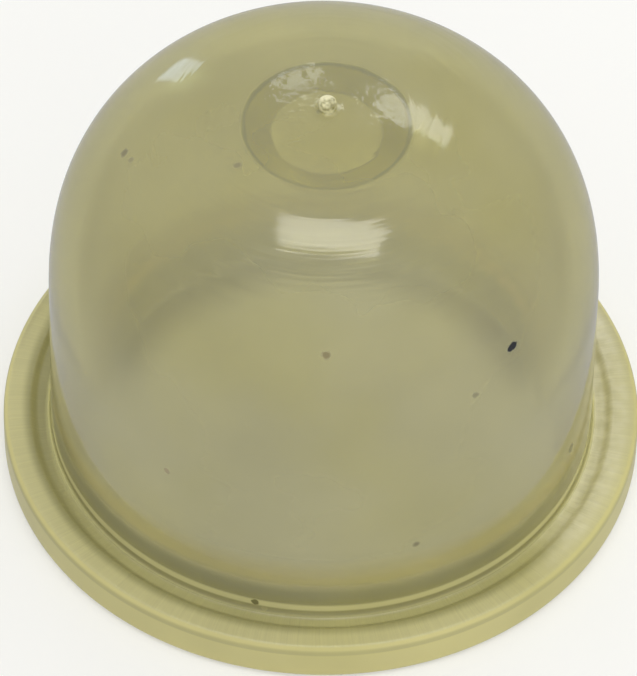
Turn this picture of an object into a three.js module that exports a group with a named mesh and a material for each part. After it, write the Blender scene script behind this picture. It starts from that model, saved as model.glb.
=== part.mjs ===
// Primer bulb: one hollow moulded dome of clouded urethane, with a flange round its open mouth.
// Millimetres, +Z up. The origin is the centre of the flange's underside.
import * as THREE from 'three';

// Dome
const domeRadius = 9.58; // outside, where the wall leaves the flange
const domeDraft = 0.05; // how much narrower the straight wall is at its top
const straightHeight = 6; // straight wall, above the flange
const crownRise = 9.1; // from the top of the straight wall to the crown
const crownPower = 2.5; // 2 is an ellipse, and more is squarer at the shoulder
const wallThickness = 1.05;
const crownThickness = 1.15;

// Flange
const flangeThickness = 1.48;
const grooveWidth = 0.7; // shallow ring groove between the dome and the rim
const grooveDepth = 0.18;
const rimWidth = 0.97; // raised rim, whose top is the clamping face
const rimTopRound = 0.26;
const rimBottomRound = 0.2;
const rootFillet = 0.26; // where the dome wall meets the groove
const mouthRound = 0.25; // inside edge of the open mouth

// Pad in the middle of the cavity's ceiling, a round boss with a sloping side
const padRadius = 2.78; // where its side meets the ceiling
const padDrop = 0.7; // how far it hangs below the ceiling
const padSlope = 1; // width of its side, seen from below

// Gate mark, a low round stud on top of the crown
const gateRadius = 0.3;
const gateHeight = 0.4;
const gateRound = 0.12;

// How finely curves are cut into straight lines
const turnSteps = 64;
const crownSteps = 14;
const ceilingSteps = 11;
const roundSteps = 3;

// Sizes that follow from those above
const flangeRadius = domeRadius + grooveWidth + rimWidth;
const grooveHeight = flangeThickness - grooveDepth;
const shoulderHeight = flangeThickness + straightHeight;
const shoulderRadius = domeRadius - domeDraft;
const boreRadius = domeRadius - wallThickness;

// Points of a circular arc about (r, z), from one angle to the other, both ends included.
function arc(r, z, radius, fromAngle, toAngle, steps) {
  const points = [];
  for (let i = 0; i <= steps; i += 1) {
    const angle = fromAngle + ((toAngle - fromAngle) * i) / steps;
    points.push(new THREE.Vector2(r + radius * Math.cos(angle), z + radius * Math.sin(angle)));
  }
  return points;
}

// The crown is a superellipse: (r / radius)^power + (height / rise)^power = 1.
function crownHeight(r, radius, rise) {
  return shoulderHeight + rise * (1 - (r / radius) ** crownPower) ** (1 / crownPower);
}

// Points up the crown, from the top of the straight wall to where its radius falls to innerRadius.
function crown(radius, rise, innerRadius, steps) {
  const lastAngle = Math.acos((innerRadius / radius) ** (crownPower / 2));
  const points = [];
  for (let i = 0; i <= steps; i += 1) {
    const angle = lastAngle * (i / steps) ** 1.25;
    const r = radius * Math.cos(angle) ** (2 / crownPower);
    points.push(new THREE.Vector2(r, crownHeight(r, radius, rise)));
  }
  return points;
}

// Outside, from the underside of the flange up to the foot of the gate mark.
function outerProfile() {
  const topRound = Math.min(rimTopRound, rimWidth / 2, flangeThickness / 2);
  const bottomRound = Math.min(rimBottomRound, rimWidth / 2, flangeThickness / 2);
  const fillet = Math.min(rootFillet, grooveWidth / 2, straightHeight / 2);
  const rimInner = flangeRadius - rimWidth;
  const grooveOuter = rimInner - Math.min(grooveDepth, grooveWidth / 4);
  return [
    ...arc(flangeRadius - bottomRound, bottomRound, bottomRound, -Math.PI / 2, 0, roundSteps),
    ...arc(flangeRadius - topRound, flangeThickness - topRound, topRound, 0, Math.PI / 2, roundSteps),
    new THREE.Vector2(rimInner, flangeThickness),
    new THREE.Vector2(grooveOuter, grooveHeight),
    ...arc(domeRadius + fillet, grooveHeight + fillet, fillet, -Math.PI / 2, -Math.PI, roundSteps),
    ...crown(shoulderRadius, crownRise, gateRadius, crownSteps),
  ];
}

// Side and top of the gate mark, up to its middle.
function gateProfile() {
  const top = crownHeight(gateRadius, shoulderRadius, crownRise) + gateHeight;
  const round = Math.min(gateRound, gateRadius / 2, gateHeight / 2);
  return [
    ...arc(gateRadius - round, top - round, round, 0, Math.PI / 2, roundSteps),
    new THREE.Vector2(0, top),
  ];
}

// Inside, from the middle of the pad under the crown to the mouth.
function innerProfile() {
  const rise = crownRise - crownThickness;
  const radius = shoulderRadius - wallThickness;
  const mouth = Math.min(mouthRound, wallThickness / 2, flangeThickness / 2);
  const padFace = padRadius - Math.min(padSlope, padRadius / 2);
  const padHeight = crownHeight(padRadius, radius, rise) - padDrop;
  return [
    new THREE.Vector2(0, padHeight),
    new THREE.Vector2(padFace, padHeight),
    ...crown(radius, rise, padRadius, ceilingSteps).reverse(),
    ...arc(boreRadius + mouth, mouth, mouth, Math.PI, 1.5 * Math.PI, roundSteps),
  ];
}

function bulbGeometry() {
  const profile = [...innerProfile(), ...outerProfile(), ...gateProfile()];
  return new THREE.LatheGeometry(profile, turnSteps).rotateX(Math.PI / 2);
}

const urethane = new THREE.MeshStandardMaterial({
  color: 0xa9a282,
  roughness: 0.35,
  metalness: 0,
});

const bulb = new THREE.Mesh(bulbGeometry(), urethane);
bulb.name = 'primer_bulb';

const primerBulb = new THREE.Group();
primerBulb.add(bulb);

export default primerBulb;
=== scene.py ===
import math

import bpy
import numpy as np
from mathutils import Matrix


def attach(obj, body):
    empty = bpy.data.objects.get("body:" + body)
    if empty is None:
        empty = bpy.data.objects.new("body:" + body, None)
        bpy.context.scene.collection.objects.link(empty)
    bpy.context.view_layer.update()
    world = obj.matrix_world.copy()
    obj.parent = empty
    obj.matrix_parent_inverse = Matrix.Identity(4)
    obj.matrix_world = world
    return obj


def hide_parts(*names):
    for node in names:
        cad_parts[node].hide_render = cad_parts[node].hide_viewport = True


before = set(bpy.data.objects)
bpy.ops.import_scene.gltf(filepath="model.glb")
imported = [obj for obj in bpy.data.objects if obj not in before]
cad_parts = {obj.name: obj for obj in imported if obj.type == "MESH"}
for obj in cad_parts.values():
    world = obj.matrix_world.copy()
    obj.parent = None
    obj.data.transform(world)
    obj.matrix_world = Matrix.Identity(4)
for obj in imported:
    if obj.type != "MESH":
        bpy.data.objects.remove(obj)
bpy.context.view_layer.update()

print("frame loaded:", sorted(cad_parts))


# Camera: where the photograph was taken from. Angles in degrees, lengths in metres.
photoCamera = {
    "elevation": 49.4,
    "distance": 0.220,
    "roll": 1.2,  # the photograph is turned by this much, clockwise
    "imageWidth": 637,
    "imageHeight": 676,
    "pixelsPerMetre": 28070.0,  # at the origin's distance
    "originPixel": (320.6, 429.0),  # where the middle of the flange's underside lies
    "sensor": 0.036,
}


def makeCamera(s):
    tilt = math.radians(s["elevation"])
    roll = math.radians(s["roll"])
    back = np.array([0.0, -math.cos(tilt), math.sin(tilt)])
    right = np.array([1.0, 0.0, 0.0])
    up = np.cross(back, right)
    # The picture's middle, seen from the origin's pixel, with the roll taken out.
    dx = s["imageWidth"] / 2 - s["originPixel"][0]
    dy = s["imageHeight"] / 2 - s["originPixel"][1]
    across = (math.cos(roll) * dx + math.sin(roll) * dy) / s["pixelsPerMetre"]
    upward = (math.sin(roll) * dx - math.cos(roll) * dy) / s["pixelsPerMetre"]
    place = back * s["distance"]
    look = place - (right * across + up * upward)
    look = look / np.linalg.norm(look)
    side = np.cross(up, look)
    side = side / np.linalg.norm(side)
    top = np.cross(look, side)
    rolledSide = math.cos(roll) * side + math.sin(roll) * top
    rolledTop = math.cos(roll) * top - math.sin(roll) * side
    data = bpy.data.cameras.new("photoCamera")
    data.sensor_width = s["sensor"] * 1000
    data.lens = data.sensor_width * s["pixelsPerMetre"] * s["distance"] / s["imageHeight"]
    data.clip_start = 0.01
    data.clip_end = 20.0
    camera = bpy.data.objects.new("photoCamera", data)
    matrix = np.eye(4)
    matrix[:3, 0] = rolledSide
    matrix[:3, 1] = rolledTop
    matrix[:3, 2] = look
    matrix[:3, 3] = place
    camera.matrix_world = Matrix(matrix.tolist())
    bpy.context.scene.collection.objects.link(camera)
    bpy.context.scene.camera = camera


makeCamera(photoCamera)
print("camera set")


# Node helpers
def newMaterial(name):
    material = bpy.data.materials.new(name)
    material.use_nodes = True
    tree = material.node_tree
    tree.nodes.clear()
    return material, tree


def addNode(tree, kind, inputs=(), **settings):
    node = tree.nodes.new(kind)
    for key, value in settings.items():
        setattr(node, key, value)
    for socket, value in dict(inputs).items():
        if isinstance(value, bpy.types.NodeSocket):
            tree.links.new(value, node.inputs[socket])
        else:
            node.inputs[socket].default_value = value
    return node


def mathNode(tree, operation, a, b=0.0, clamp=False):
    return addNode(tree, "ShaderNodeMath", {0: a, 1: b}, operation=operation, use_clamp=clamp).outputs[0]


def product(tree, first, *others):
    for other in others:
        first = mathNode(tree, "MULTIPLY", first, other)
    return first


def highest(tree, first, *others):
    for other in others:
        first = mathNode(tree, "MAXIMUM", first, other)
    return first


def oneMinus(tree, value):
    return mathNode(tree, "SUBTRACT", 1.0, value)


def noise(tree, place, scale, detail):
    return addNode(tree, "ShaderNodeTexNoise", {"Vector": place, "Scale": scale, "Detail": detail}).outputs[0]


# A straight line through two values, held at its ends.
def spread(tree, value, before, after):
    inputs = {"Value": value, "From Min": before[0], "From Max": before[1]}
    inputs.update({"To Min": after[0], "To Max": after[1]})
    return addNode(tree, "ShaderNodeMapRange", inputs).outputs[0]


# 0 at the first value, 1 at the second, and a smooth step between.
def smoothStep(tree, value, low, high):
    inputs = {"Value": value, "From Min": low, "From Max": high, "To Min": 0.0, "To Max": 1.0}
    return addNode(tree, "ShaderNodeMapRange", inputs, interpolation_type="SMOOTHSTEP").outputs[0]


def mixColour(tree, factor, a, b):
    node = tree.nodes.new("ShaderNodeMix")
    node.data_type = "RGBA"
    for index, value in ((0, factor), (6, a), (7, b)):
        if isinstance(value, bpy.types.NodeSocket):
            tree.links.new(value, node.inputs[index])
        else:
            node.inputs[index].default_value = value
    return node.outputs[2]


def shadeColour(tree, colour, shade):
    return addNode(tree, "ShaderNodeVectorMath", {0: colour, 1: shade}, operation="MULTIPLY").outputs[0]


# Bulb: one wall, turned about Z. Lengths in metres.
bulbShape = {
    "domeRadius": 0.00958,
    "domeDraft": 0.00005,
    "straightHeight": 0.006,
    "crownRise": 0.0091,
    "crownPower": 2.5,
    "wallThickness": 0.00105,
    "crownThickness": 0.00115,
    "flangeThickness": 0.00148,
    "grooveWidth": 0.0007,
    "grooveDepth": 0.00018,
    "rimWidth": 0.00097,
    "rimTopRound": 0.00026,
    "rimBottomRound": 0.0002,
    "rootFillet": 0.00026,
    "mouthRound": 0.00025,
    "padRadius": 0.00278,
    "padDrop": 0.0007,
    "padSlope": 0.001,
    "padEdge": 0.00006,
    "gateRadius": 0.0003,
    "gateHeight": 0.0004,
    "gateRound": 0.00012,
    "turns": 224,
}


# Points on a circle about a centre, from one angle to the other.
def arcLine(centre, radius, fromAngle, toAngle, count):
    angle = np.linspace(fromAngle, toAngle, count)
    return np.stack([centre[0] + radius * np.cos(angle), centre[1] + radius * np.sin(angle)], 1)


# Points on a straight line, its ends left out.
def straightLine(start, end, count):
    share = np.linspace(0, 1, count + 2)[1:-1, None]
    return np.asarray(start) * (1 - share) + np.asarray(end) * share


# Points on a parabola that leaves start and reaches end along the sides of the corner between them.
def bendLine(start, corner, end, count):
    share = np.linspace(0, 1, count)[:, None]
    first = np.asarray(start) * (1 - share) + np.asarray(corner) * share
    second = np.asarray(corner) * (1 - share) + np.asarray(end) * share
    return first * (1 - share) + second * share


# The crown is a superellipse: (r / radius)^power + (height / rise)^power = 1.
def crownHeight(s, r, radius, rise):
    shoulder = s["flangeThickness"] + s["straightHeight"]
    return shoulder + rise * (1 - (r / radius) ** s["crownPower"]) ** (1 / s["crownPower"])


def crownLine(s, radius, rise, innerRadius, count):
    last = math.acos((innerRadius / radius) ** (s["crownPower"] / 2))
    angle = last * np.linspace(0, 1, count) ** 1.25
    r = radius * np.cos(angle) ** (2 / s["crownPower"])
    return np.stack([r, crownHeight(s, r, radius, rise)], 1)


# The whole section, from the middle of the pad under the crown round the flange to the gate mark.
def bulbSection(s):
    flangeRadius = s["domeRadius"] + s["grooveWidth"] + s["rimWidth"]
    shoulderRadius = s["domeRadius"] - s["domeDraft"]
    innerRadius = shoulderRadius - s["wallThickness"]
    innerRise = s["crownRise"] - s["crownThickness"]
    boreRadius = s["domeRadius"] - s["wallThickness"]
    edge = s["padEdge"]
    padFace = s["padRadius"] - s["padSlope"]
    ceiling = crownHeight(s, s["padRadius"], innerRadius, innerRise)
    padHeight = ceiling - s["padDrop"]
    padCorner = np.array([padFace, padHeight])
    ceilingCorner = np.array([s["padRadius"], ceiling])
    sideStep = (ceilingCorner - padCorner) * edge / s["padSlope"]
    groove = s["flangeThickness"] - s["grooveDepth"]
    rimInner = flangeRadius - s["rimWidth"]
    grooveOuter = rimInner - s["grooveDepth"]
    topRound, bottomRound = s["rimTopRound"], s["rimBottomRound"]
    fillet, mouth = s["rootFillet"], s["mouthRound"]
    softCorner = 0.00008

    padBend = bendLine(padCorner - (edge, 0), padCorner, padCorner + sideStep, 7)
    innerCrown = crownLine(s, innerRadius, innerRise, s["padRadius"] + edge, 56)[::-1]
    ceilingBend = bendLine(ceilingCorner - sideStep, ceilingCorner, innerCrown[0], 7)[:-1]
    mouthArc = arcLine((boreRadius + mouth, mouth), mouth, math.pi, 1.5 * math.pi, 8)
    bottomArc = arcLine((flangeRadius - bottomRound, bottomRound), bottomRound, -math.pi / 2, 0, 8)
    topArc = arcLine((flangeRadius - topRound, s["flangeThickness"] - topRound), topRound, 0, math.pi / 2, 10)
    rimCorner = np.array([rimInner, s["flangeThickness"]])
    rimBend = bendLine(rimCorner + (softCorner, 0), rimCorner, rimCorner - (softCorner, softCorner), 5)
    grooveCorner = np.array([grooveOuter, groove])
    grooveBend = bendLine(grooveCorner + (softCorner, softCorner) * np.array(0.9), grooveCorner,
                          grooveCorner - (softCorner, 0), 5)
    rootArc = arcLine((s["domeRadius"] + fillet, groove + fillet), fillet, -math.pi / 2, -math.pi, 10)
    outerCrown = crownLine(s, shoulderRadius, s["crownRise"], s["gateRadius"] + edge, 90)
    studFoot = np.array([s["gateRadius"], crownHeight(s, s["gateRadius"], shoulderRadius, s["crownRise"])])
    studBend = bendLine(outerCrown[-1], studFoot, studFoot + (0, edge), 5)[1:]
    studTop = studFoot[1] + s["gateHeight"]
    studArc = arcLine((s["gateRadius"] - s["gateRound"], studTop - s["gateRound"]), s["gateRound"],
                      0, math.pi / 2, 6)
    parts = [
        [(0.0, padHeight)], straightLine((0.0, padHeight), padBend[0], 10), padBend,
        straightLine(padBend[-1], ceilingBend[0], 8), ceilingBend,
        innerCrown, straightLine(innerCrown[-1], mouthArc[0], 14),
        mouthArc, straightLine(mouthArc[-1], bottomArc[0], 8),
        bottomArc, straightLine(bottomArc[-1], topArc[0], 5),
        topArc, straightLine(topArc[-1], rimBend[0], 4),
        rimBend, grooveBend, straightLine(grooveBend[-1], rootArc[0], 3),
        rootArc, straightLine(rootArc[-1], outerCrown[0], 14),
        outerCrown, studBend, studArc, straightLine(studArc[-1], (0.0, studTop), 4),
        [(0.0, studTop)],
    ]
    return np.concatenate([np.asarray(part, float) for part in parts])


# A surface of two parameters: place along the section, and turn about Z.
# x = r cos(turn), y = r sin(turn), z = height. Both ends of the section lie on the axis.
def turnedSurface(name, section, turns):
    r, z = section[1:-1, 0], section[1:-1, 1]
    turn = np.linspace(0, 2 * math.pi, turns, endpoint=False)
    x = r[:, None] * np.cos(turn)
    y = r[:, None] * np.sin(turn)
    height = np.broadcast_to(z[:, None], x.shape)
    grid = np.stack([x, y, height], 2).reshape(-1, 3)
    firstPole = len(grid)
    points = np.concatenate([grid, [[0, 0, section[0, 1]]], [[0, 0, section[-1, 1]]]])
    row = np.arange(len(r) - 1)[:, None] * turns
    here = np.arange(turns)
    there = (here + 1) % turns
    quads = np.stack([row + here, row + there, row + turns + there, row + turns + here], 2).reshape(-1, 4)
    firstFan = np.stack([np.full(turns, firstPole), there, here], 1)
    lastRow = (len(r) - 1) * turns
    lastFan = np.stack([np.full(turns, firstPole + 1), lastRow + here, lastRow + there], 1)
    loops = np.concatenate([quads.ravel(), firstFan.ravel(), lastFan.ravel()])
    sizes = np.concatenate([np.full(len(quads), 4), np.full(2 * turns, 3)])
    starts = np.concatenate([[0], np.cumsum(sizes)[:-1]])
    mesh = bpy.data.meshes.new(name)
    mesh.vertices.add(len(points))
    mesh.vertices.foreach_set("co", points.astype(np.float32).ravel())
    mesh.loops.add(len(loops))
    mesh.loops.foreach_set("vertex_index", loops.astype(np.int32))
    mesh.polygons.add(len(sizes))
    mesh.polygons.foreach_set("loop_start", starts.astype(np.int32))
    mesh.polygons.foreach_set("loop_total", sizes.astype(np.int32))
    mesh.polygons.foreach_set("use_smooth", np.ones(len(sizes), bool))
    mesh.update(calc_edges=True)
    mesh.validate()
    piece = bpy.data.objects.new(name, mesh)
    bpy.context.scene.collection.objects.link(piece)
    return piece


# Clouded urethane. Lengths in metres.
urethaneLook = {
    "domeColour": (0.70, 0.675, 0.45, 1.0),
    "crownColour": (0.74, 0.72, 0.49, 1.0),
    "rootColour": (0.84, 0.80, 0.43, 1.0),
    "flangeColour": (0.86, 0.80, 0.38, 1.0),
    # The groove's colour is painted shade: darker where the recess lies in shade.
    "grooveShadeColour": (0.47, 0.45, 0.225, 1.0),
    "rimColour": (0.78, 0.745, 0.42, 1.0),
    "gateGlintColour": (0.98, 0.95, 0.68, 1.0),
    "padSideColour": (0.56, 0.53, 0.04, 1.0),
    "padEdgeShadeColour": (0.22, 0.24, 0.04, 1.0),
    "footShadeColour": (0.26, 0.27, 0.10, 1.0),
    "innerGlowColour": (0.92, 0.80, 0.22, 1.0),
    "litStreakColour": (1.0, 0.87, 0.36, 1.0),
    "transmission": 0.69,
    "flangeTransmission": 0.35,
    "roughness": (0.06, 0.13),
    "flangeRoughness": 0.3,
    "ior": 1.5,
    "absorbColour": (0.955, 0.945, 0.79, 1.0),
    "absorbDensity": 1300.0,
    "cloud": (240.0, 0.05),  # blotches per metre, and how much they lighten or darken
    "tint": (150.0, 0.3, (0.70, 0.66, 0.27, 1.0)),  # patches per metre, share, yellower urethane
    "turningMarks": (2600.0, 0.000013),  # rings per metre of radius and height, depth of the bump
    "marksFade": (0.1, 1.0),  # share of that depth on the steep wall, and on the crown
    "striations": (170.0, 0.000014, 0.2),  # radial lines on the flange, per radian, bump, shade
    "striationRise": 300.0,  # how fast the lines change with height
    "sink": (1900.0, 0.000020),  # unevenness over the pad: hollows per metre, depth of the bump
    "gateRoughness": (3000.0, 0.00003),
    "rightLight": (2300.0, 0.95, (0.99, 0.96, 0.76, 1.0)),  # grains per metre, share, pale colour of the painted light
    "rightLightGrain": (0.65, 1.0),
    "cornerLineShare": 0.45,
    "speckRaggedness": 5200.0,
    "lostLight": {
        "isFootShade": 0.75, "isInnerGlow": 0.6, "isPadSide": 0.7, "isGlintOnTornGate": 0.7, "isRootLine": 0.62,
        "isLitStreak": 1.0,
    },
}

# Dirt in and on the wall, as in the photograph: place, radius, darkness, colour.
specks = [
    ((0.00642, -0.00621, 0.01175), 0.000145, 1.0, (0.010, 0.012, 0.016, 1.0)),
    ((0.00629, -0.00633, 0.01174), 0.00014, 1.0, (0.012, 0.014, 0.018, 1.0)),
    ((0.00013, -0.00815, 0.01328), 0.00013, 0.7, (0.10, 0.06, 0.02, 1.0)),
    ((-0.00213, -0.00934, 0.00167), 0.00013, 0.85, (0.08, 0.075, 0.015, 1.0)),
    ((-0.0018, -0.0094, 0.00145), 0.0001, 0.45, (0.12, 0.11, 0.03, 1.0)),
    ((0.00871, -0.00394, 0.00387), 0.0002, 0.85, (0.11, 0.10, 0.02, 1.0)),
    ((0.00518, -0.00762, 0.01081), 0.00011, 0.65, (0.08, 0.065, 0.03, 1.0)),
    ((0.00334, -0.00895, 0.00452), 0.00012, 0.75, (0.08, 0.065, 0.03, 1.0)),
    ((-0.00518, -0.008, 0.00698), 0.00011, 0.6, (0.16, 0.06, 0.04, 1.0)),
    ((-0.00683, -0.00052, 0.01471), 0.00014, 0.7, (0.08, 0.06, 0.03, 1.0)),
    ((-0.00658, -0.00098, 0.01486), 0.0001, 0.6, (0.08, 0.06, 0.03, 1.0)),
    ((-0.00297, -0.00236, 0.0162), 0.00013, 0.6, (0.08, 0.06, 0.03, 1.0)),
    ((-0.0003, -0.0002, 0.01658), 0.00009, 0.6, (0.08, 0.08, 0.03, 1.0)),
]


# Where the bulb's zones begin and end, in metres: each pair is a soft step, 0 at its first value and
# 1 at its second. Radii and heights are counted from what the note names, else from axis or origin.
bulbZones = {
    "rimRadius": (0.00005, 0.0004),  # from the rim's inner edge
    "sideRadius": (-0.0002, -0.0001),  # from the flange's outer edge
    "cornerLineRadius": (0.0009, 0.00096),  # from the rim's inner edge
    "cornerLineHeight": (0.00112, 0.0012),
    "domeHeight": (0.00002, 0.00012),  # from the flange's top
    "domeRadius": (0.00016, 0.00004),  # from the dome's outside
    "rootHeight": (0.0003, 0.0009),  # from the flange's top
    "crownHeight": (0.0125, 0.0155),
    "rightLightPlace": (0.0070, 0.0092),  # along X
    "rightLightRadius": (0.0111, 0.0107),
    "gateHeight": (-0.00004, 0.00006),  # from the crown
    "gateWidth": (1.6, 1.0),  # in gate radii
    "boreRadius": (0.0006, 0.0004),  # from the bore
    "footShade": ((-0.0001, 0.0001), (0.0024, 0.0018)),
    "innerGlow": ((0.0019, 0.0024), (0.0037, 0.0027)),
    "litStreakHeight": ((0.0018, 0.0023), (0.0035, 0.0026)),
    "litStreakTurn": ((0.2, 0.6), (1.45, 1.0)),  # radians from +X towards +Y
    "rootLine": ((0.0015, 0.0016), (0.0019, 0.00175)),
    "padCeiling": (0.0001, -0.0001),  # from the ceiling
    "padFaceRadius": (-0.00008, 0.00012),  # from the edge of the pad's face
    "padOuterRadius": (0.0001, 0.0),  # from the pad's radius
    "padShadeLineRadius": (-0.00016, -0.00006),  # from the pad's radius
    "sinkWidth": (1.0, 0.9),  # in pad radii
    "sinkHeight": (0.0004, 0.0006),  # from the ceiling
    "marksHeight": (0.0125, 0.015),
}


# 1 within a band and 0 outside, from the step that begins it and the one that ends it.
def band(tree, value, limits):
    return product(tree, smoothStep(tree, value, *limits[0]), smoothStep(tree, value, *limits[1]))


# A soft step between two limits that are counted from a start.
def stepFrom(tree, value, start, limits):
    return smoothStep(tree, value, start + limits[0], start + limits[1])


# 1 within a speck and 0 outside: its darkness times a step in the distance from its centre,
# with a little noise added to the distance so that its edge is uneven.
def speckMask(tree, place, ragged, centre, radius, darkness):
    ends = {0: place, 1: centre}
    apart = addNode(tree, "ShaderNodeVectorMath", ends, operation="DISTANCE").outputs["Value"]
    uneven = mathNode(tree, "ADD", apart, product(tree, ragged, radius * 0.9))
    return product(tree, smoothStep(tree, uneven, radius * 1.25, radius * 0.8), darkness)


# Flange: a groove painted dark as the shade in its recess, a lighter rim with a dark line along its outer corner,
# a yellow side, and painted light on its right, where it is lit brighter: pale grains of noise within a range of X.
def flangeColour(tree, s, shape, at):
    rimInner = shape["domeRadius"] + shape["grooveWidth"]
    isRim = stepFrom(tree, at["radius"], rimInner, bulbZones["rimRadius"])
    flange = mixColour(tree, isRim, s["grooveShadeColour"], s["rimColour"])
    flange = mixColour(tree, at["isSide"], flange, s["flangeColour"])
    cornerLine = product(tree, stepFrom(tree, at["radius"], rimInner, bulbZones["cornerLineRadius"]),
                         smoothStep(tree, at["z"], *bulbZones["cornerLineHeight"]), s["cornerLineShare"])
    flange = mixColour(tree, cornerLine, flange, s["grooveShadeColour"])
    # Painted light: the flange's right is lit brighter, painted as pale grains of noise.
    grains, share, pale = s["rightLight"]
    grain = smoothStep(tree, noise(tree, at["place"], grains, 2.0), 0.35, 0.65)
    grain = spread(tree, grain, (0.0, 1.0), s["rightLightGrain"])
    rightLighted = product(tree, smoothStep(tree, at["x"], *bulbZones["rightLightPlace"]), grain, share,
                      smoothStep(tree, at["radius"], *bulbZones["rightLightRadius"]))
    return mixColour(tree, rightLighted, flange, pale)


# Dome: deeper yellow at its root and paler on the crown, each a step in height.
def domeColour(tree, s, shape, at):
    isCrown = smoothStep(tree, at["z"], *bulbZones["crownHeight"])
    dome = mixColour(tree, isCrown, s["domeColour"], s["crownColour"])
    aboveRoot = stepFrom(tree, at["z"], shape["flangeThickness"], bulbZones["rootHeight"])
    return mixColour(tree, aboveRoot, s["rootColour"], dome)


# Colour all over, zone by zone. Inside, painted shade makes a dark band at the foot of the bore, painted light a
# yellow band above it and a paler streak on one quarter of the turn, where light comes through the wall; a
# yellow-green ring lies on the sloping side of the pad, where the urethane is thick, with painted shade along its
# corner.
def zoneColour(tree, s, shape, at):
    colour = mixColour(tree, at["isDome"], flangeColour(tree, s, shape, at), domeColour(tree, s, shape, at))
    # The torn gate mark is painted pale: a painted highlight on its top.
    colour = mixColour(tree, at["isGlintOnTornGate"], colour, s["gateGlintColour"])
    # Painted light: a yellow band of glow inside the bore, where light comes through the wall.
    colour = mixColour(tree, at["isInnerGlow"], colour, s["innerGlowColour"])
    colour = mixColour(tree, at["isFootShade"], colour, s["footShadeColour"])
    # Painted light: a pale streak on the back-right quarter, where the light from behind comes through.
    colour = mixColour(tree, at["isLitStreak"], colour, s["litStreakColour"])
    # The line at the pad's outer corner is painted shade, darker where the corner bends the light away.
    padShadeLine = product(tree, at["isPadSide"],
                      stepFrom(tree, at["radius"], shape["padRadius"], bulbZones["padShadeLineRadius"]))
    padColour = mixColour(tree, padShadeLine, s["padSideColour"], s["padEdgeShadeColour"])
    return mixColour(tree, at["isPadSide"], colour, padColour)


# Place on the bulb, and a mask for each of its zones.
def bulbPlace(tree, s, shape):
    place = addNode(tree, "ShaderNodeTexCoord").outputs["Object"]
    xyz = addNode(tree, "ShaderNodeSeparateXYZ", {0: place}).outputs
    x, y, z = xyz[0], xyz[1], xyz[2]
    radius = mathNode(tree, "SQRT", mathNode(tree, "ADD", product(tree, x, x), product(tree, y, y)))
    turn = mathNode(tree, "ARCTAN2", y, x)
    flangeTop = shape["flangeThickness"]
    crownTop = flangeTop + shape["straightHeight"] + shape["crownRise"]
    ceilingTop = crownTop - shape["crownThickness"]
    flangeEdge = shape["domeRadius"] + shape["grooveWidth"] + shape["rimWidth"]
    gateLimits = [shape["gateRadius"] * width for width in bulbZones["gateWidth"]]
    sinkLimits = [shape["padRadius"] * width for width in bulbZones["sinkWidth"]]

    isBore = stepFrom(tree, radius, shape["domeRadius"] - shape["wallThickness"], bulbZones["boreRadius"])
    isGate = product(tree, stepFrom(tree, z, crownTop, bulbZones["gateHeight"]),
                     smoothStep(tree, radius, *gateLimits))
    torn = noise(tree, place, s["gateRoughness"][0], 2.0)
    padFace = shape["padRadius"] - shape["padSlope"]
    return {
        "place": place, "x": x, "z": z, "radius": radius, "turn": turn, "torn": torn, "isGate": isGate,
        "isSide": stepFrom(tree, radius, flangeEdge, bulbZones["sideRadius"]),
        "isDome": highest(tree, stepFrom(tree, z, flangeTop, bulbZones["domeHeight"]),
                          stepFrom(tree, radius, shape["domeRadius"], bulbZones["domeRadius"])),
        "isGlintOnTornGate": product(tree, isGate, smoothStep(tree, torn, 0.35, 0.62)),
        "isFootShade": product(tree, isBore, band(tree, z, bulbZones["footShade"])),
        "isInnerGlow": product(tree, isBore, band(tree, z, bulbZones["innerGlow"])),
        "isLitStreak": product(tree, band(tree, z, bulbZones["litStreakHeight"]),
                            band(tree, turn, bulbZones["litStreakTurn"]), isBore),
        "isRootLine": product(tree, band(tree, z, bulbZones["rootLine"]), oneMinus(tree, isBore)),
        "isPadSide": product(tree, stepFrom(tree, z, ceilingTop, bulbZones["padCeiling"]),
                             stepFrom(tree, radius, padFace, bulbZones["padFaceRadius"]),
                             stepFrom(tree, radius, shape["padRadius"], bulbZones["padOuterRadius"])),
        "isOverPad": product(tree, smoothStep(tree, radius, *sinkLimits),
                             stepFrom(tree, z, ceilingTop, bulbZones["sinkHeight"])),
    }


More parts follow.
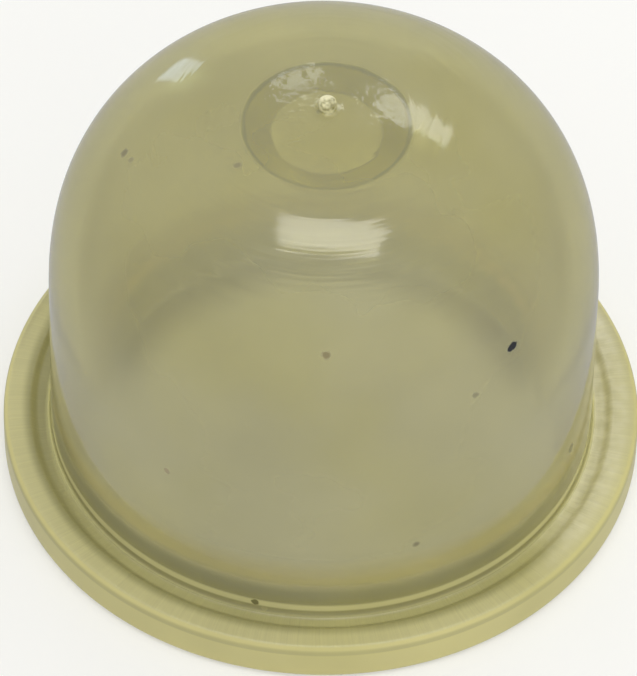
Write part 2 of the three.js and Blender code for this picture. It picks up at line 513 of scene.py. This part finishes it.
def urethaneMaterial(s, shape):
    material, tree = newMaterial("cloudedUrethane")
    at = bulbPlace(tree, s, shape)
    place, z = at["place"], at["z"]
    colour = zoneColour(tree, s, shape, at)

    # Cloud: soft blotches of lighter and darker urethane, and patches of a yellower one, both noise.
    patch = product(tree, smoothStep(tree, noise(tree, place, s["tint"][0], 2.0), 0.45, 0.7), s["tint"][1])
    colour = mixColour(tree, patch, colour, s["tint"][2])
    blotches, strength = s["cloud"]
    shade = spread(tree, noise(tree, place, blotches, 2.5), (0.3, 0.7), (1 - strength, 1 + strength))
    colour = shadeColour(tree, colour, shade)

    # Specks: each darkens the wall where it lies, and lets no light through.
    ragged = mathNode(tree, "SUBTRACT", noise(tree, place, s["speckRaggedness"], 1.0), 0.5)
    clear = 1.0
    for centre, size, darkness, tint in specks:
        mask = speckMask(tree, place, ragged, centre, size, darkness)
        colour = mixColour(tree, mask, colour, tint)
        clear = product(tree, clear, oneMinus(tree, mask))

    # Turning marks: fine rings about Z, noise that hardly changes round the turn.
    east = mathNode(tree, "COSINE", at["turn"])
    north = mathNode(tree, "SINE", at["turn"])
    rings, ringDepth = s["turningMarks"]
    along = product(tree, mathNode(tree, "SUBTRACT", at["radius"], z), rings)
    ringPlace = addNode(tree, "ShaderNodeCombineXYZ", {0: along, 1: east, 2: north}).outputs[0]
    marks = noise(tree, ringPlace, 1.0, 1.5)
    marksDepth = product(tree, spread(tree, z, bulbZones["marksHeight"], s["marksFade"]), ringDepth)
    marksDepth = product(tree, marks, marksDepth)

    # Striations: fine radial lines on the flange, noise that changes mostly round the turn.
    turns, lineDepth, lineShade = s["striations"]
    linePlace = addNode(tree, "ShaderNodeCombineXYZ", {
        0: product(tree, east, turns), 1: product(tree, north, turns), 2: product(tree, z, s["striationRise"]),
    }).outputs[0]
    lines = noise(tree, linePlace, 1.0, 1.0)
    onFlange = mathNode(tree, "SUBTRACT", oneMinus(tree, at["isDome"]), at["isSide"], True)
    shade = product(tree, mathNode(tree, "SUBTRACT", lines, 0.5), lineShade, onFlange)
    colour = shadeColour(tree, colour, mathNode(tree, "ADD", shade, 1.0))

    # The outside over the pad is slightly sunk and uneven, and the gate mark is torn: both are noise.
    sinkDepth = product(tree, noise(tree, place, s["sink"][0], 2.0), at["isOverPad"], s["sink"][1])
    tornDepth = product(tree, at["torn"], at["isGate"], s["gateRoughness"][1])
    depth = mathNode(tree, "ADD", mathNode(tree, "ADD", marksDepth, product(tree, lines, onFlange, lineDepth)),
                     mathNode(tree, "ADD", sinkDepth, tornDepth))
    bump = addNode(tree, "ShaderNodeBump", {"Height": depth, "Distance": 1.0, "Strength": 1.0})
    rough = spread(tree, marks, (0.35, 0.65), s["roughness"])
    rough = spread(tree, at["isDome"], (0.0, 1.0), (s["flangeRoughness"], rough))

    # Some zones let less light through than the dome: each has its own share that is lost.
    lost = [product(tree, at[zone], share) for zone, share in s["lostLight"].items()]
    through = spread(tree, at["isDome"], (0.0, 1.0), (s["flangeTransmission"], s["transmission"]))
    through = product(tree, clear, through, oneMinus(tree, highest(tree, *lost)))

    shader = addNode(tree, "ShaderNodeBsdfPrincipled", {
        "Base Color": colour, "Roughness": rough, "IOR": s["ior"],
        "Transmission Weight": through, "Normal": bump.outputs[0],
    })
    absorb = addNode(tree, "ShaderNodeVolumeAbsorption", {
        "Color": s["absorbColour"], "Density": s["absorbDensity"],
    })
    output = addNode(tree, "ShaderNodeOutputMaterial")
    tree.links.new(shader.outputs[0], output.inputs["Surface"])
    tree.links.new(absorb.outputs[0], output.inputs["Volume"])
    return material


bulb = turnedSurface("primerBulbMoulding", bulbSection(bulbShape), bulbShape["turns"])
bulb.data.materials.append(urethaneMaterial(urethaneLook, bulbShape))
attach(bulb, "root")
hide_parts("primer_bulb")
print("bulb made:", len(bulb.data.polygons), "faces")


# Floor and light
studio = {
    "floorSize": 3.0,
    "floorDrop": 0.00004,
    "floorColour": (0.94, 0.95, 0.97, 1.0),
    "whiten": 0.35,  # share of plain white in the floor as the camera sees it
    "seenThrough": 0.85,  # how bright the floor is to rays through the bulb
    "seenUnderBulb": 0.41,  # and within the mouth, in the bulb's own shade
    "backShade": 0.92,  # how much of that is lost at the back of the mouth, behind the flange
    "mouthRadius": 0.0086,
    "mouthEdge": (-0.0003, 0.0),  # from that radius
    "backRadius": ((-0.0022, 0.0), (0.0001, 0.0)),  # from that radius
    "backPlace": (0.0, 0.004),  # along Y
    "seenByCamera": 1.1,
    "seenInGloss": 0.52,  # and to rays off its gloss
    "worldColour": (1.0, 0.985, 0.91, 1.0),
    "worldStrength": 0.66,
    "worldInGloss": 0.52,
}

# Each lamp: direction from the bulb, distance, width and depth in metres, power in watts, colour.
lamps = {
    "overheadPanel": {"direction": (0.035, -0.08, 0.99), "distance": 0.4, "size": (0.22, 0.11), "turn": -6.0,
                      "power": 0.38, "colour": (1.0, 0.98, 0.92)},
    "backLeftWindow": {"direction": (-0.42, 0.90, 0.08), "distance": 0.6, "size": (0.07, 0.20),
                       "power": 0.11, "colour": (0.60, 0.74, 1.0)},
    "backWindow": {"direction": (-0.07, 0.76, 0.65), "distance": 0.6, "size": (0.055, 0.085),
                   "power": 0.04, "colour": (0.96, 0.98, 0.92)},
    "backRightWindow": {"direction": (0.27, 0.66, 0.70), "distance": 0.6, "size": (0.21, 0.075),
                        "power": 0.20, "colour": (0.98, 0.99, 0.92)},
    "frontFill": {"direction": (0.45, -0.85, 0.3), "distance": 0.5, "size": (0.5, 0.25),
                  "power": 0.42, "colour": (1.0, 0.97, 0.88), "hasNoShine": True},
}


# Floor: pale paint that takes the shadow. The camera sees it with a share of plain white, and a ray that
# comes through the bulb or off its gloss meets a plain glow, darker within the mouth and darkest at its back.
def makeFloor(s):
    half = s["floorSize"] / 2
    corners = np.array([[-1, -1], [1, -1], [1, 1], [-1, 1]]) * half
    points = np.column_stack([corners, np.full(4, -s["floorDrop"])])
    mesh = bpy.data.meshes.new("floor")
    mesh.from_pydata(points.tolist(), [], [(0, 1, 2, 3)])
    floor = bpy.data.objects.new("floor", mesh)
    bpy.context.scene.collection.objects.link(floor)
    material, tree = newMaterial("paleFloor")
    paint = addNode(tree, "ShaderNodeBsdfDiffuse", {"Color": s["floorColour"]})
    rays = addNode(tree, "ShaderNodeLightPath")
    through = rays.outputs["Is Transmission Ray"]
    gloss = mathNode(tree, "SUBTRACT", rays.outputs["Is Glossy Ray"], through, True)
    place = addNode(tree, "ShaderNodeTexCoord").outputs["Object"]
    apart = addNode(tree, "ShaderNodeVectorMath", {0: place}, operation="LENGTH").outputs["Value"]
    mouth = s["mouthRadius"]
    mouthEdge = [mouth + step for step in s["mouthEdge"]]
    lit = spread(tree, apart, mouthEdge, (s["seenUnderBulb"], s["seenThrough"]))
    northward = addNode(tree, "ShaderNodeSeparateXYZ", {0: place}).outputs[1]
    nearBack = product(tree, *[smoothStep(tree, apart, mouth + low, mouth + high) for low, high in s["backRadius"]],
                       smoothStep(tree, northward, *s["backPlace"]))
    lit = product(tree, lit, oneMinus(tree, product(tree, nearBack, s["backShade"])))
    camera = rays.outputs["Is Camera Ray"]
    strength = highest(tree, product(tree, through, lit), product(tree, gloss, s["seenInGloss"]),
                       product(tree, camera, s["seenByCamera"]))
    glow = addNode(tree, "ShaderNodeEmission", {"Color": (1, 1, 1, 1), "Strength": strength})
    glowing = highest(tree, through, gloss, product(tree, camera, s["whiten"]))
    mix = addNode(tree, "ShaderNodeMixShader", {0: glowing})
    tree.links.new(paint.outputs[0], mix.inputs[1])
    tree.links.new(glow.outputs[0], mix.inputs[2])
    output = addNode(tree, "ShaderNodeOutputMaterial")
    tree.links.new(mix.outputs[0], output.inputs["Surface"])
    mesh.materials.append(material)


# World: white to the camera and through the bulb, a warm pale room for the rest, dimmer in gloss.
def makeWorld(s):
    world = bpy.data.worlds.new("studio")
    world.use_nodes = True
    tree = world.node_tree
    tree.nodes.clear()
    rays = addNode(tree, "ShaderNodeLightPath")
    seen = mathNode(tree, "MAXIMUM", rays.outputs["Is Camera Ray"], rays.outputs["Is Transmission Ray"])
    dimmer = mathNode(tree, "MULTIPLY", rays.outputs["Is Glossy Ray"], s["worldStrength"] - s["worldInGloss"])
    strength = mathNode(tree, "SUBTRACT", s["worldStrength"], dimmer)
    room = addNode(tree, "ShaderNodeBackground", {"Color": s["worldColour"], "Strength": strength})
    white = addNode(tree, "ShaderNodeBackground", {"Color": (1, 1, 1, 1), "Strength": 1.0})
    mix = addNode(tree, "ShaderNodeMixShader", {0: seen})
    tree.links.new(room.outputs[0], mix.inputs[1])
    tree.links.new(white.outputs[0], mix.inputs[2])
    output = addNode(tree, "ShaderNodeOutputWorld")
    tree.links.new(mix.outputs[0], output.inputs["Surface"])
    bpy.context.scene.world = world


def makeLamp(name, s):
    data = bpy.data.lights.new(name, "AREA")
    data.shape = "RECTANGLE"
    data.size, data.size_y = s["size"]
    data.energy = s["power"]
    data.color = s["colour"]
    lamp = bpy.data.objects.new(name, data)
    away = np.array(s["direction"]) / np.linalg.norm(s["direction"])
    side = np.cross((0, 1, 0) if abs(away[2]) > 0.9 else (0, 0, 1), away)
    side = side / np.linalg.norm(side)
    turn = math.radians(s.get("turn", 0.0))
    side = math.cos(turn) * side + math.sin(turn) * np.cross(away, side)
    matrix = np.eye(4)
    matrix[:3, 0] = side
    matrix[:3, 1] = np.cross(away, side)
    matrix[:3, 2] = away
    matrix[:3, 3] = away * s["distance"]
    lamp.matrix_world = Matrix(matrix.tolist())
    lamp.visible_glossy = not s.get("hasNoShine", False)
    bpy.context.scene.collection.objects.link(lamp)


makeFloor(studio)
makeWorld(studio)
for lampName, lampSettings in lamps.items():
    makeLamp(lampName, lampSettings)
bpy.context.scene.view_settings.view_transform = "Standard"
print("floor and lamps set")
